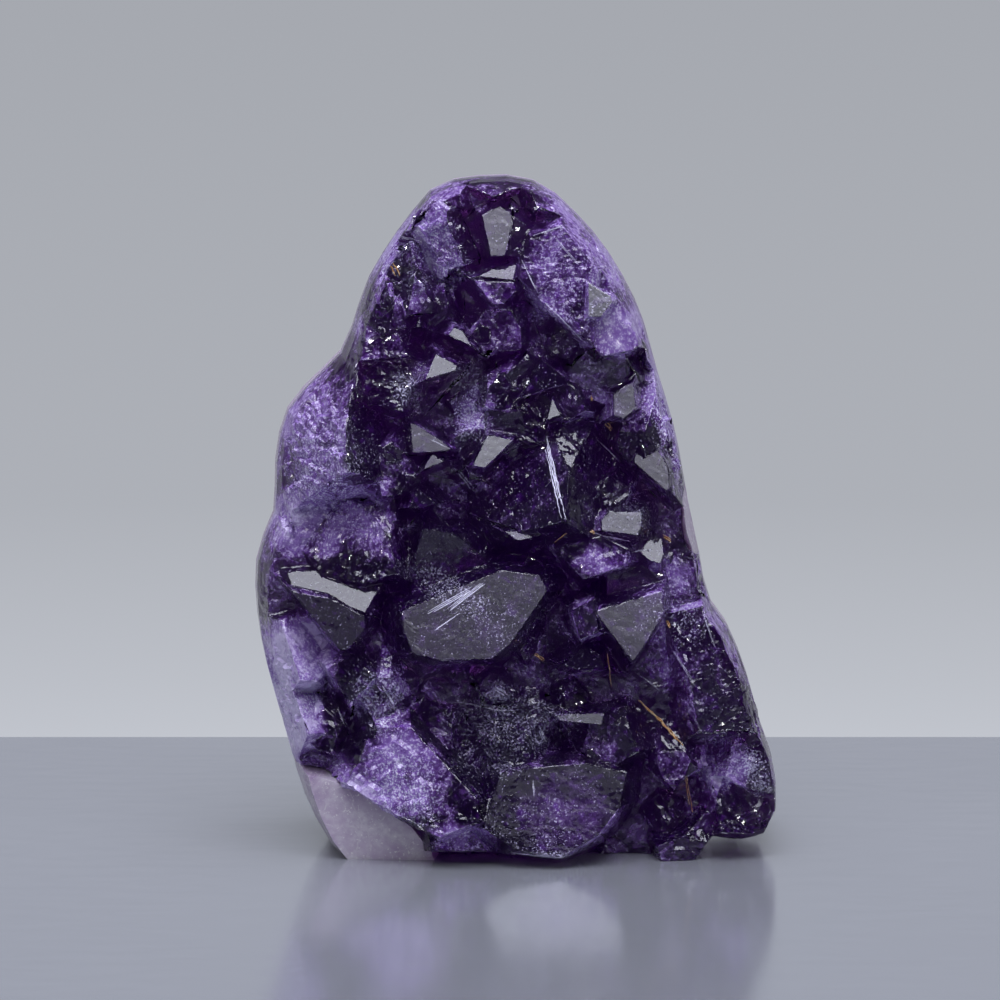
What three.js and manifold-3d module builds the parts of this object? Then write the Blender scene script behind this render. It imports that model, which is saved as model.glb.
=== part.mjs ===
// Amethyst cluster with a cut base: purple quartz points grown together on their pale quartz root.
// Millimetres, +Z up. The crystal side faces -Y, +X is to the right when it is looked at.
// The origin is the middle of the flat cut base.

import * as THREE from 'three';
import { ConvexGeometry } from 'three/addons/geometries/ConvexGeometry.js';
import { mergeVertices } from 'three/addons/utils/BufferGeometryUtils.js';
import Module from 'manifold-3d';

const wasm = await Module();
wasm.setup();

// Driving dimensions
const HEIGHT = 100;                    // cut base to the top of the rim
const FRONT_DEPTH = 30;                // middle plane to the front of the ground envelope, at the base
const BACK_DEPTH = 22;                 // middle plane to the back, at the base
const TOP_DEPTH_SHARE = 0.62;          // how much of that depth is left at the top
const LEAN = 0.06;                     // how far the middle plane falls back for each mm of height
const TIP_DEPTH = 20;                  // middle plane to the highest crystal tips, at the base
const SIDE_FALL = 5;                   // how much lower the tips are at the left and right rims
const HALF_WIDTH = 39.5;
const ROOT_DEPTH = 2;                  // middle plane to the front of the quartz root
const CRUST_DEPTH = 13;                // middle plane to the floor of the grooves between the points
const JOINT_GAP = 0.3;                 // clearance between the crust and the root

// Quartz geometry: a six-sided prism closed by rhombohedral faces
const FACE_TO_AXIS = THREE.MathUtils.degToRad(38.2);
const NORMAL_TO_AXIS = Math.PI / 2 - FACE_TO_AXIS;
const MINOR_FACE_RAISE = 0.16;         // how much higher the three minor faces meet, as a share of the width
const SHORTEST = 10;                   // length of a crystal of no width
const LENGTH_SHARE = 1.2;              // how much longer it is for each mm of width

// Ground and polished outline, seen from the front, clockwise from the top. It runs below the base and is cut
// there.
const OUTLINE = [
  [-5.3, 100], [0, 100], [3, 99.2], [6, 97.4], [9.9, 93.6], [12.8, 90.3], [15.8, 85.7], [18.8, 79.7],
  [21.1, 71.7], [24.1, 61.7], [26.1, 51.1], [27.6, 44.3], [28.7, 38.5], [29.9, 35.3], [31.8, 32.9],
  [33.8, 28.5], [35.8, 22.4], [36.6, 18.9],
  [38.2, 14.9], [39.2, 10.3], [39.4, 6.5], [38.5, 3.8], [36.6, 2], [34.5, 1.6], [28.6, 2.2],
  [27, -2], [8.3, -6], [-12.5, -6], [-25, -2.5], [-28.6, 1.3], [-31.8, 7.3], [-34, 14.1], [-35.8, 20.2],
  [-38.1, 28.5], [-39.2, 36], [-39.2, 42.1], [-38, 46.3], [-36.3, 50.7], [-36.4, 55.2], [-36, 59.4],
  [-34.8, 64.4], [-32.5, 67.7], [-28.7, 71.5], [-26.5, 73.6], [-24.6, 77.6], [-22.5, 83.9], [-19.4, 89.3],
  [-15.4, 94.8], [-12.6, 98], [-9.9, 99.3],
];
const OUTLINE_CENTRE = new THREE.Vector2(0, 45);
const OUTLINE_STEPS = 76;
const DEPTH_STEPS = 10;

// How far the polished sides draw in towards the front: a wide rounding on the left, a narrow one on the
// right
const FRONT_ROUNDING = { left: 16, right: 5, top: 4.5, bottom: 4 };
const BACK_ROUNDING = { left: 14, right: 12, top: 13, bottom: 4 };
const FRONT_CURVE = 2;                 // how late that starts, as a power of the share of the depth
const BACK_CURVE = 3;
const RIND_DEPTH = 21;                 // middle plane to the rough rind at the back

// Places where the quartz root comes forward to the polished side: middle, and half-sizes along X, Y and Z
const ROOT_TOES = [
  { middle: [-27, -8, -3], half: [20, 30, 14], turn: 35 },
  { middle: [28, -2, 50], half: [3.4, 14, 6], turn: 5 },
];
const TOE_DEPTH = 17;                  // middle plane to the front of those places

// The large points, top to bottom. tip is X and Z, sink is how far the tip lies behind the tip surface, face is
// where the largest face looks (degrees to the right, degrees up), and points is where it narrows to its tip
// (degrees clockwise from straight up). A point with an edge ends in a chisel of that length, and one with a
// length is cut short. parts is the number of smaller parallel points that grew on it.
const POINTS = [
  { is: 'left of crown', tip: [-8, 96], sink: 0, width: 8, face: [-20, 15], points: 120, parts: 2 },
  { is: 'upper left speckled', tip: [-13.5, 97.5], sink: 2, width: 7, length: 12,
    face: [-20, 30], points: 340, parts: 2 },
  { is: 'upper left lavender', tip: [-15.5, 91], sink: 0, width: 16, face: [-26, 10], points: 30, parts: 4 },
  { is: 'upper left chip', tip: [-20.8, 87.5], sink: 1, width: 5, face: [-22, 34], points: 10, parts: 0 },
  { is: 'top rim left', tip: [-3, 98], sink: -3, width: 10, face: [10, 20], points: 190, parts: 1 },
  { is: 'top rim middle', tip: [4.4, 96.5], sink: -4, width: 11, face: [25, 20], points: 230, parts: 1 },
  { is: 'top rim right', tip: [11.5, 92], sink: -4, width: 11, face: [30, 15], points: 240, parts: 1 },
  { is: 'big milky low', tip: [14.5, 77], sink: -2, width: 13, face: [-6, -14], points: 20, parts: 2 },
  { is: 'wedge under milky', tip: [7.6, 73.4], sink: -1, width: 6, face: [-22, 20], points: 160, parts: 1 },
  { is: 'rim dark violet', tip: [20.2, 74], sink: 0, width: 6, face: [30, 12], points: 250, parts: 1 },
  { is: 'smoky', tip: [1, 75], sink: 0, width: 10, face: [-15, 10], points: 130, parts: 2 },
  { is: 'hollow upper', tip: [-1.5, 71.5], sink: 0, width: 9, face: [20, -5], points: 280, parts: 2 },
  { is: 'hollow lower', tip: [1, 66], sink: 0, width: 8, face: [-10, -12], points: 40, parts: 2 },
  { is: 'hollow left', tip: [-4.5, 66.5], sink: 0, width: 8, face: [14, 10], points: 235, parts: 1 },
  { is: 'left violet', tip: [-25.9, 73.5], sink: 0, width: 9, face: [-30, 20], points: 110, parts: 1 },
  { is: 'left milky patch', tip: [-16.6, 66], sink: -1, width: 12, face: [-12, 18], points: 150, parts: 2 },
  { is: 'dark under triangle', tip: [-9.3, 62], sink: 0, width: 10, face: [22, -6], points: 290, parts: 2 },
  { is: 'under lavender', tip: [4.2, 61.5], sink: 0, width: 9, face: [-15, 14], points: 133, parts: 2 },
  { is: 'purple pair', tip: [10.4, 66], sink: 0, width: 9, face: [-22, 8], points: 110, parts: 2 },
  { is: 'violet pointing down', tip: [17.2, 57.6], sink: -1, width: 7,
    face: [-22, 5], points: 180, parts: 1 },
  { is: 'right rim upper', tip: [25.9, 70], sink: -2, width: 11, face: [36, 8], points: 255, parts: 1 },
  { is: 'right rim middle', tip: [27, 61], sink: -2, width: 10, face: [32, 5], points: 260, parts: 1 },
  { is: 'dark centre', tip: [7.2, 50.7], sink: -6, width: 26, face: [-38, 25], points: 130, parts: 2 },
  { is: 'centre right chip', tip: [13, 52], sink: 0, width: 6, face: [10, 22], points: 215, parts: 0 },
  { is: 'white edged', tip: [21.3, 43.6], sink: 0, width: 6, face: [5, 36], points: 150, parts: 1 },
  { is: 'dark speckled', tip: [13.5, 42.5], sink: 1, width: 13, face: [12, -12], points: 315, parts: 2 },
  { is: 'right rim violet', tip: [29.1, 41], sink: -2, width: 11, face: [24, 22], points: 225, parts: 2 },
  { is: 'left milky polished', tip: [-24.5, 58], sink: -8, width: 21,
    face: [-34, 15], points: 120, parts: 2 },
  { is: 'left milky low', tip: [-19.7, 53.5], sink: -1, width: 9, face: [12, 14], points: 215, parts: 1 },
  { is: 'left converging', tip: [-17.6, 42.5], sink: -2, width: 17, face: [-20, 18], points: 120, parts: 2 },
  { is: 'left low milky', tip: [-32.2, 27], sink: -4, width: 15, face: [-34, 8], points: 105, parts: 1 },
  { is: 'left lowest milky', tip: [-30.1, 19], sink: -3, width: 12, face: [-30, 5], points: 100, parts: 2 },
  { is: 'dark over slate', tip: [-13.5, 49], sink: 0, width: 15, face: [8, -14], points: 330, parts: 2 },
  { is: 'dark violet pyramid', tip: [18.2, 16.5], sink: -1, width: 11,
    face: [-26, 6], points: 105, parts: 1 },
  { is: 'small milky pyramid', tip: [23.3, 10.7], sink: -1, width: 7, face: [-5, 15], points: 180, parts: 1 },
  { is: 'dark low right', tip: [20.8, 2.5], sink: 0, width: 11, face: [10, -6], points: 300, parts: 2 },
  { is: 'dark lowest right', tip: [25.9, 4.5], sink: 1, width: 9, face: [20, 0], points: 270, parts: 1 },
  { is: 'right lobe', tip: [26.6, 19.5], sink: -5, width: 28, face: [15, 18], points: 220, parts: 4 },
  { is: 'lobe purple', tip: [30.6, 12.6], sink: -2, width: 13, face: [20, 6], points: 250, parts: 2 },
  { is: 'lobe bottom', tip: [30.1, 4.4], sink: -2, width: 18, face: [24, 22], points: 225, parts: 1 },
  { is: 'broken upper', tip: [-3.1, 22], sink: 2, width: 11, face: [12, -8], points: 300, parts: 3 },
  { is: 'broken right', tip: [3.1, 15], sink: 2, width: 10, face: [-10, 5], points: 120, parts: 3 },
  { is: 'broken left', tip: [-9.3, 16.5], sink: 2, width: 9, face: [-16, 12], points: 130, parts: 3 },
  { is: 'white patch', tip: [-1.2, 24.4], sink: 1, width: 6, face: [-22, 25], points: 120, parts: 1 },
  { is: 'loop left', tip: [-27, 15.6], sink: 0, width: 8, face: [-10, 14], points: 150, parts: 2 },
  { is: 'fibrous left', tip: [-20.1, 20.5], sink: 1, width: 8, face: [-5, 12], points: 180, parts: 2 },
];

// The crystals whose facet shows most. corners are X and Z as the eye sees them at the depth of the facet's
// middle, face is where it looks, and sink is how far it lies behind the tips.
const FACETS = [
  { is: 'crown', sink: -1, face: [-2, 27],
    corners: [[-2.3, 96.3], [-0.2, 94.7], [-1.5, 88.6], [-3.7, 88.5], [-5, 94.7]] },
  { is: 'right of crown', sink: -0.6, face: [30, 16],
    corners: [[-0.2, 94.7], [3.1, 92], [1.7, 91.4], [0.8, 88.6], [-1.5, 88.6]] },
  { is: 'roof under crown', sink: -1, face: [0, 33],
    corners: [[-0.5, 88.2], [0.2, 87.4], [-0.3, 85.1], [-5.9, 85.7]] },
  { is: 'slate under roof', sink: -2.3, face: [2, 14],
    corners: [[-6.2, 85.4], [-0.3, 85], [0.2, 83.8], [-1.6, 81.7], [-3.4, 81.7]] },
  { is: 'big milky', sink: -3, face: [-10, 10],
    corners: [[2.1, 91.9], [7.5, 93.7], [12.2, 90.3], [11.4, 75.3], [4.8, 80.9], [0.5, 85.8],
      [0.8, 88.6]] },
  { is: 'big milky right', sink: -2.8, face: [18, 12],
    corners: [[12.2, 90.3], [18.5, 80.9], [19.7, 77.1], [17.3, 75], [12.5, 74.1], [11.4, 75.3]] },
  { is: 'slate on milky', sink: -5.6, face: [4, 27],
    corners: [[10.5, 85.3], [14.6, 82.8], [12.5, 80.1], [10.5, 80.1]] },
  { is: 'slate left point', sink: 0, face: [-14, 20],
    corners: [[-19.4, 82.2], [-15.7, 73.8], [-24.6, 73.1], [-26, 78.3]] },
  { is: 'small bright', sink: -0.5, face: [0, 30], corners: [[-14.2, 79.9], [-13.7, 78.3], [-14.8, 78.2]] },
  { is: 'brown faced', sink: -1, face: [0, 32],
    corners: [[-9, 78.5], [-7.8, 77.9], [-6.2, 75.3], [-10, 77.2]] },
  { is: 'bright triangle', sink: -1.5, face: [3, 32],
    corners: [[-11.8, 74.7], [-8.5, 72.8], [-8.8, 72], [-13.4, 70.6]] },
  { is: 'grey wedge', sink: -1, face: [-2, 27],
    corners: [[-15.6, 64.6], [-14.1, 64], [-9.5, 60.7], [-10, 60.3], [-15.2, 60]] },
  { is: 'chip under wedge', sink: -2, face: [0, 28],
    corners: [[-12.2, 60.1], [-10.7, 58.8], [-13.7, 57.5], [-12.9, 59.1]] },
  { is: 'grey left chip', sink: -0.5, face: [2, 22],
    corners: [[-14.4, 54.8], [-11.6, 52.6], [-13.8, 51.8], [-15.6, 52]] },
  { is: 'bright band', sink: -1.5, face: [-3, 31],
    corners: [[-4.2, 62.8], [-0.2, 62.1], [-4.5, 57.8], [-6.4, 58.2]] },
  { is: 'lavender facet', sink: -0.5, face: [-6, 18],
    corners: [[3.9, 73.7], [7.3, 71.1], [7, 69.9], [3.6, 68.9], [1, 68]] },
  { is: 'tiny triangle', sink: -1, face: [0, 32], corners: [[5.4, 68.3], [6.7, 65.5], [4.5, 64.7]] },
  { is: 'right grey', sink: -2, face: [0, 26.5],
    corners: [[14.3, 68.7], [17.4, 70.7], [17.7, 66.5], [15.9, 65], [14.3, 65.5]] },
  { is: 'long grey', sink: -2, face: [5, 28],
    corners: [[18.5, 62.2], [19.6, 62.2], [21.6, 59.6], [24, 54.9], [21.9, 54.5], [17.2, 58.8]] },
  { is: 'sliver under centre', sink: -1.5, face: [0, 32],
    corners: [[-1.9, 48.8], [5.4, 48.8], [2.1, 47.6], [0.2, 47.3]] },
  { is: 'bright plate', sink: -2.5, face: [0, 31],
    corners: [[12.5, 50.3], [13.7, 51.7], [18.5, 51.7], [18.5, 49.4], [17.9, 48.1], [12.5, 48.8]] },
  { is: 'striated', sink: -2, face: [-4, 14],
    corners: [[5.8, 46.6], [12.5, 48.1], [16.5, 46.2], [15.9, 43.6], [10, 41.7], [7.3, 44.4]] },
  { is: 'slate right', sink: -3, face: [6, 27],
    corners: [[11.5, 37.2], [21.5, 40.2], [21.8, 36.8], [18.4, 31.5], [17.1, 29.8]] },
  { is: 'milky beside slate', sink: -2.2, face: [-30, 12],
    corners: [[8.1, 37.1], [11.5, 38.9], [12.1, 34.1], [9.4, 32.9]] },
  { is: 'left roof', sink: 0.2, face: [-5, 36],
    corners: [[-33.9, 42.3], [-23.3, 43], [-19.2, 41.4], [-22.1, 36.3], [-27.3, 38.9], [-33.1, 40.2]] },
  { is: 'slate under left roof', sink: -2.5, face: [-4, 18],
    corners: [[-33.1, 40], [-27.3, 38.9], [-22.1, 36.2], [-22.1, 34.4], [-24.6, 31.3], [-25.8, 31.3]] },
  { is: 'purple facet', sink: -0.5, face: [6, 8],
    corners: [[-27.8, 28.5], [-24.3, 30.3], [-20.5, 27], [-24.3, 22.4]] },
  { is: 'slate middle', sink: -3, face: [-3, 26],
    corners: [[-16.7, 37.4], [-2.3, 43.3], [3.6, 42.6], [4.7, 40.3], [-0.8, 32.5], [-3.5, 30.3],
      [-11.1, 30.1], [-15.1, 31.2], [-16.5, 34.7]] },
  { is: 'grey low middle', sink: -1, face: [0, 21],
    corners: [[7.2, 29.2], [10.2, 31.8], [12.5, 30.7], [13.4, 28.2], [9.4, 28.2]] },
  { is: 'grey strip', sink: -1, face: [0, 30],
    corners: [[5.8, 21.9], [13.1, 22.3], [12.6, 20.4], [6.5, 21]] },
  { is: 'lavender low left', sink: -3, face: [-12, 14],
    corners: [[-20.6, 20.7], [-15.2, 20.4], [-10.3, 14.6], [-5.5, 9.9], [-5.5, 6.7], [-11.1, 4.4], [-16.9, 7],
      [-25.2, 12.1]] },
  { is: 'pale foot', sink: -1, face: [0, 14],
    corners: [[-13, 5.6], [-6.7, 5.6], [-3.8, 1.9], [-12.5, 1.9]] },
  { is: 'slate foot', sink: -1.5, face: [2, 26],
    corners: [[-2.3, 13.6], [2.4, 14.3], [10.1, 15], [16.4, 13.6], [15.2, 8.4], [12.3, 4.7], [6.5, 1.3],
      [-0.1, 2.5], [-4.9, 5.5]] },
];
const FACET_BACK = 14;                 // how far such a crystal reaches back
const FACET_SPREAD = 5.5;              // how much wider it gets on the way
const EYE_FALL = Math.tan(THREE.MathUtils.degToRad(7));   // how steeply the eye looks down

// Small points that fill the grooves, in a jittered grid over the whole front
const FILL_SPACING = 6.4;
const FILL_WIDTH = [4, 7.5];
const FILL_SINK = [2.5, 7];
const FILL_TURN = 38;                  // degrees that the main face of a small point looks away from straight out
const FILL_TWIST = 40;                 // degrees that such a point leans to the side of straight out
const SEED = 20417;

// Numbers between two limits that come out the same each time, in a series of its own for each crystal
function series(number) {
  const MULTIPLIER = 16807;
  const MODULUS = 2147483647;
  let drawn = (SEED * (number + 1)) % MODULUS;
  return (low, high) => {
    drawn = (drawn * MULTIPLIER) % MODULUS;
    return low + (high - low) * (drawn / MODULUS);
  };
}

// A closed three.js geometry as a solid that can be joined and cut
function solid(geometry) {
  geometry.deleteAttribute('normal');
  geometry.deleteAttribute('uv');
  const merged = mergeVertices(geometry);
  const vertProperties = new Float32Array(merged.attributes.position.array);
  const triVerts = new Uint32Array(merged.index.array);
  return new wasm.Manifold(new wasm.Mesh({ numProp: 3, vertProperties, triVerts }));
}

function geometryOf(body) {
  const mesh = body.getMesh();
  const geometry = new THREE.BufferGeometry();
  geometry.setAttribute('position', new THREE.BufferAttribute(new Float32Array(mesh.vertProperties), 3));
  geometry.setIndex(new THREE.BufferAttribute(new Uint32Array(mesh.triVerts), 1));
  geometry.computeVertexNormals();
  return geometry;
}

// The cluster is thinner at the top and leans back a little
function depthShare(z) {
  const share = THREE.MathUtils.clamp(z / HEIGHT, 0, 1);
  return THREE.MathUtils.lerp(1, TOP_DEPTH_SHARE, share);
}

function middlePlane(z) {
  return LEAN * Math.max(z, 0);
}

function tipSurface(x, z) {
  const fall = SIDE_FALL * (x / HALF_WIDTH) ** 2;
  return middlePlane(z) - (TIP_DEPTH - fall) * depthShare(z);
}

// Low swells that keep the root from being a flat sheet
function swell(x, z) {
  const SWELL_HEIGHT = 0.8;
  return SWELL_HEIGHT * (Math.sin(x / 6 + z / 20) + Math.cos(z / 8 - x / 14));
}

// Rounding at a point of the outline, from the side of the cluster that it is on
function roundingAt(offset, rounding) {
  const side = offset.x < 0 ? rounding.left : rounding.right;
  const end = offset.y < 0 ? rounding.bottom : rounding.top;
  const share = offset.x ** 2 / offset.lengthSq();
  return THREE.MathUtils.lerp(end, side, share);
}

// The whole ground block: the outline drawn in towards the front and the back, and cut flat at the base
function groundEnvelope() {
  const points = OUTLINE.map(([x, z]) => new THREE.Vector3(x, z, 0));
  const outline = new THREE.CatmullRomCurve3(points, true, 'centripetal');
  const geometry = new THREE.CylinderGeometry(1, 1, 2, OUTLINE_STEPS, DEPTH_STEPS);
  const place = geometry.attributes.position;
  for (let i = 0; i < place.count; i += 1) {
    const radius = Math.hypot(place.getX(i), place.getZ(i));
    const turn = Math.atan2(place.getX(i), place.getZ(i)) / (2 * Math.PI);
    const level = place.getY(i);
    const onOutline = outline.getPointAt(((turn % 1) + 1) % 1);
    const offset = new THREE.Vector2(onOutline.x, onOutline.y).sub(OUTLINE_CENTRE);
    const rounding = roundingAt(offset, level < 0 ? FRONT_ROUNDING : BACK_ROUNDING);
    const inset = rounding * Math.abs(level) ** (level < 0 ? FRONT_CURVE : BACK_CURVE);
    offset.setLength(Math.max(offset.length() - inset, 1)).multiplyScalar(radius).add(OUTLINE_CENTRE);
    const reach = level < 0 ? FRONT_DEPTH : BACK_DEPTH;
    place.setXYZ(i, offset.x, middlePlane(offset.y) + level * reach * depthShare(offset.y), offset.y);
  }
  return solid(geometry).intersect(aboveBase()).intersect(frontOfRind());
}

function aboveBase() {
  const SPAN = 4 * HALF_WIDTH;
  const block = new THREE.BoxGeometry(SPAN, SPAN, 2 * HEIGHT);
  block.translate(0, 0, HEIGHT);
  return solid(block);
}

// Everything behind a swelling sheet that stands the given depth in front of the middle plane
function behindSheet(depth) {
  const CELLS_X = 11;
  const CELLS_Z = 13;
  const MARGIN = 12;
  const BACK = 60;
  const span = 2 * (HALF_WIDTH + MARGIN);
  const sheet = new THREE.BoxGeometry(span, 2, HEIGHT + 2 * MARGIN, CELLS_X, 1, CELLS_Z);
  sheet.translate(0, 0, HEIGHT / 2);
  const place = sheet.attributes.position;
  for (let i = 0; i < place.count; i += 1) {
    const x = place.getX(i);
    const z = place.getZ(i);
    const front = middlePlane(z) - depth * depthShare(z) + swell(x, z);
    place.setY(i, place.getY(i) < 0 ? front : BACK);
  }
  return solid(sheet);
}

// Everything in front of the rough rind at the back, which is crowned and lumpy
function frontOfRind() {
  const CELLS_X = 16;
  const CELLS_Z = 18;
  const FRONT = -60;
  const CROWN = 5.5;
  const END_SHARE = 0.55;
  const LUMP = 1.3;
  const WAVE = 0.3;
  const block = new THREE.BoxGeometry(3 * HALF_WIDTH, 2, 1.4 * HEIGHT, CELLS_X, 1, CELLS_Z);
  block.translate(0, 0, HEIGHT / 2);
  const place = block.attributes.position;
  for (let i = 0; i < place.count; i += 1) {
    const x = place.getX(i);
    const z = place.getZ(i);
    const wide = Math.sin(x * WAVE + z / 9) * Math.cos(z * WAVE - x / 12);
    const lump = LUMP * (wide + Math.sin(x / 5 - z / 7) / 2);
    const fall = CROWN * ((x / HALF_WIDTH) ** 2 + END_SHARE * (2 * z / HEIGHT - 1) ** 2);
    const back = middlePlane(z) + RIND_DEPTH * depthShare(z) - fall + lump;
    place.setY(i, place.getY(i) < 0 ? FRONT : back);
  }
  return solid(block);
}

// A rounded lump of the root that comes forward to the polished side
function rootToe({ middle, half, turn }, growth) {
  const lump = new THREE.IcosahedronGeometry(1, 3);
  lump.scale(half[0] + growth, half[1] + growth, half[2] + growth);
  lump.rotateY(THREE.MathUtils.degToRad(turn));
  lump.translate(...middle);
  return solid(lump);
}

function root(growth) {
  const toes = ROOT_TOES.map((toe) => rootToe(toe, growth)).reduce((both, toe) => both.add(toe));
  return behindSheet(ROOT_DEPTH + growth).add(toes.intersect(behindSheet(TOE_DEPTH + growth)));
}

// A unit direction from degrees to the right of straight out and degrees up
function lookDirection([right, up]) {
  const azimuth = THREE.MathUtils.degToRad(right);
  const elevation = THREE.MathUtils.degToRad(up);
  const level = Math.cos(elevation);
  return new THREE.Vector3(Math.sin(azimuth) * level, -Math.cos(azimuth) * level, Math.sin(elevation));
}

// Axes of a crystal whose main face looks one way and narrows towards another: Y runs to the tip, and the
// main face is on the side of -Z
function crystalAxes(face, points) {
  const normal = lookDirection(face);
  const clock = THREE.MathUtils.degToRad(points);
  const across = new THREE.Vector3(Math.sin(clock), 0, Math.cos(clock));
  across.y = -(across.x * normal.x + across.z * normal.z) / normal.y;
  across.normalize();
  const axis = normal.clone().multiplyScalar(Math.cos(NORMAL_TO_AXIS));
  axis.addScaledVector(across, Math.sin(NORMAL_TO_AXIS)).normalize();
  const away = axis.clone().multiplyScalar(normal.dot(axis)).sub(normal).normalize();
  const sideways = new THREE.Vector3().crossVectors(axis, away);
  return new THREE.Matrix4().makeBasis(sideways, axis, away);
}

// Three faces that meet over the axis, as a three-sided cone with its tip at the origin
function threeFaces(length, turn, raise) {
  const height = length + raise;
  const cone = new THREE.ConeGeometry(2 * height * Math.tan(FACE_TO_AXIS), height, 3);
  cone.translate(0, raise - height / 2, 0);
  cone.rotateY(turn);
  return cone;
}

// One quartz point: a six-sided prism closed by three large and three small faces
function quartzPoint({ tip, axes, width, raise, edge = 0, length = SHORTEST + LENGTH_SHARE * width }) {
  const overlap = 1;
  const prism = new THREE.CylinderGeometry(width / Math.sqrt(3), width / Math.sqrt(3), length, 6);
  prism.translate(0, -length / 2, 0);
  prism.rotateY(Math.PI / 6);
  const major = threeFaces(length + overlap, 0, 0);
  const minor = threeFaces(length + overlap, Math.PI / 3, raise * width);
  const placed = axes.clone().setPosition(tip);
  const [body, ...ends] = [prism, major, minor].map((shape) => solid(shape.applyMatrix4(placed)));
  const point = ends.reduce((cut, end) => cut.intersect(end), body);
  return edge > 0 ? drawnOut(point, axes, edge) : point;
}

// The same faces further apart, so that the tip is drawn out sideways into an edge
function drawnOut(point, axes, edge) {
  const sideways = new THREE.Vector3().setFromMatrixColumn(axes, 0).multiplyScalar(edge / 2);
  const corners = geometryOf(point).attributes.position;
  const spread = [];
  for (let i = 0; i < corners.count; i += 1) {
    const corner = new THREE.Vector3().fromBufferAttribute(corners, i);
    spread.push(corner.clone().add(sideways), corner.clone().sub(sideways));
  }
  return solid(new ConvexGeometry(spread));
}

// A large point and the smaller parallel points that grew on its flanks
function growPoint({ tip, sink, width, edge, length, face, points, parts }, number) {
  const between = series(number);
  const axes = crystalAxes(face, points);
  const place = new THREE.Vector3(tip[0], tipSurface(...tip) + sink, tip[1]);
  const grown = [quartzPoint({ tip: place, axes, width, raise: MINOR_FACE_RAISE, edge, length })];
  for (let i = 0; i < parts; i += 1) {
    const size = width * between(0.28, 0.5);
    const turn = between(0, 2 * Math.PI);
    const distance = width * between(0.34, 0.5);
    const back = distance / Math.tan(FACE_TO_AXIS) - size * between(0.3, 0.62);
    const shift = new THREE.Vector3(Math.sin(turn) * distance, -back, Math.cos(turn) * distance);
    const start = shift.applyMatrix4(axes).add(place);
    grown.push(quartzPoint({ tip: start, axes, width: size, raise: between(0.05, 0.4) }));
  }
  return grown;
}

// A crystal from the corners of its front facet: its sides spread evenly towards the back
function facetCrystal({ sink, face, corners }) {
  const normal = lookDirection(face);
  const [slopeX, slopeZ] = [-normal.x / normal.y, -normal.z / normal.y];
  const middle = new THREE.Vector3();
  corners.forEach(([x, z]) => middle.add(new THREE.Vector3(x, 0, z)));
  middle.divideScalar(corners.length);
  middle.y = tipSurface(middle.x, middle.z) + sink;
  const offsets = corners.map(([x, z]) => {
    const right = x - middle.x;
    const up = (z - middle.z - EYE_FALL * slopeX * right) / (1 + EYE_FALL * slopeZ);
    return new THREE.Vector3(right, slopeX * right + slopeZ * up, up);
  });
  const reach = offsets.reduce((sum, offset) => sum + offset.length(), 0) / offsets.length;
  const back = new THREE.Vector3(0, FACET_BACK, 0).add(middle);
  const front = offsets.map((offset) => offset.clone().add(middle));
  const rear = offsets.map((offset) => offset.clone().multiplyScalar(1 + FACET_SPREAD / reach).add(back));
  return solid(new ConvexGeometry([...front, ...rear]));
}

// Small points over the whole front, set back so that they show in the grooves
function fillPoints() {
  const grown = [];
  for (let z = FILL_SPACING / 2; z < HEIGHT + FILL_SPACING; z += FILL_SPACING) {
    for (let x = -HALF_WIDTH; x <= HALF_WIDTH; x += FILL_SPACING) {
      const between = series(POINTS.length + grown.length);
      const tipX = x + between(-0.45, 0.45) * FILL_SPACING;
      const tipZ = z + between(-0.45, 0.45) * FILL_SPACING;
      const tip = new THREE.Vector3(tipX, tipSurface(tipX, tipZ) + between(...FILL_SINK), tipZ);
      const clock = between(0, 2 * Math.PI);
      const face = [FILL_TURN * Math.sin(clock), FILL_TURN * Math.cos(clock)];
      const opposite = THREE.MathUtils.radToDeg(clock) + 180;
      const axes = crystalAxes(face, opposite + between(-FILL_TWIST, FILL_TWIST));
      grown.push(quartzPoint({ tip, axes, width: between(...FILL_WIDTH), raise: between(0.05, 0.3) }));
    }
  }
  return grown;
}

// Joins many solids in pairs, which is quicker than one after another
function joinAll(bodies) {
  let left = bodies;
  while (left.length > 1) {
    const joined = [];
    for (let i = 0; i < left.length; i += 2) {
      joined.push(i + 1 < left.length ? left[i].add(left[i + 1]) : left[i]);
    }
    left = joined;
  }
  return left[0];
}

const ground = groundEnvelope();

function makeCrystals() {
  const grown = [...POINTS.flatMap(growPoint), ...FACETS.map(facetCrystal)];
  const points = joinAll([...grown, ...fillPoints(), behindSheet(CRUST_DEPTH)]);
  return points.intersect(ground).subtract(root(JOINT_GAP));
}

function makeQuartzBase() {
  return ground.intersect(root(0));
}

const amethyst = new THREE.MeshStandardMaterial({ color: 0x46286e, roughness: 0.12, metalness: 0 });
const milkyQuartz = new THREE.MeshStandardMaterial({ color: 0xb0a6b4, roughness: 0.25, metalness: 0 });

const crystals = makeCrystals();
const quartzBase = makeQuartzBase();

// Both are moved so that the origin is under the middle of their box
const { min, max } = crystals.add(quartzBase).boundingBox();
const toOrigin = [-(min[0] + max[0]) / 2, -(min[1] + max[1]) / 2, -min[2]];

function subPart(name, body, material) {
  const mesh = new THREE.Mesh(geometryOf(body.translate(toOrigin)), material);
  mesh.name = name;
  return mesh;
}

const cluster = new THREE.Group();
cluster.add(subPart('crystals', crystals, amethyst));
cluster.add(subPart('quartz_base', quartzBase, milkyQuartz));

export default cluster;
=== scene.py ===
# Amethyst cluster with a cut base: the looks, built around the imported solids.
# Metres, +Z up. The crystal side faces -Y, +X is to the right when it is looked at.

import math
import random

import bmesh
import bpy
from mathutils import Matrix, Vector, noise
from mathutils.bvhtree import BVHTree


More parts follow.
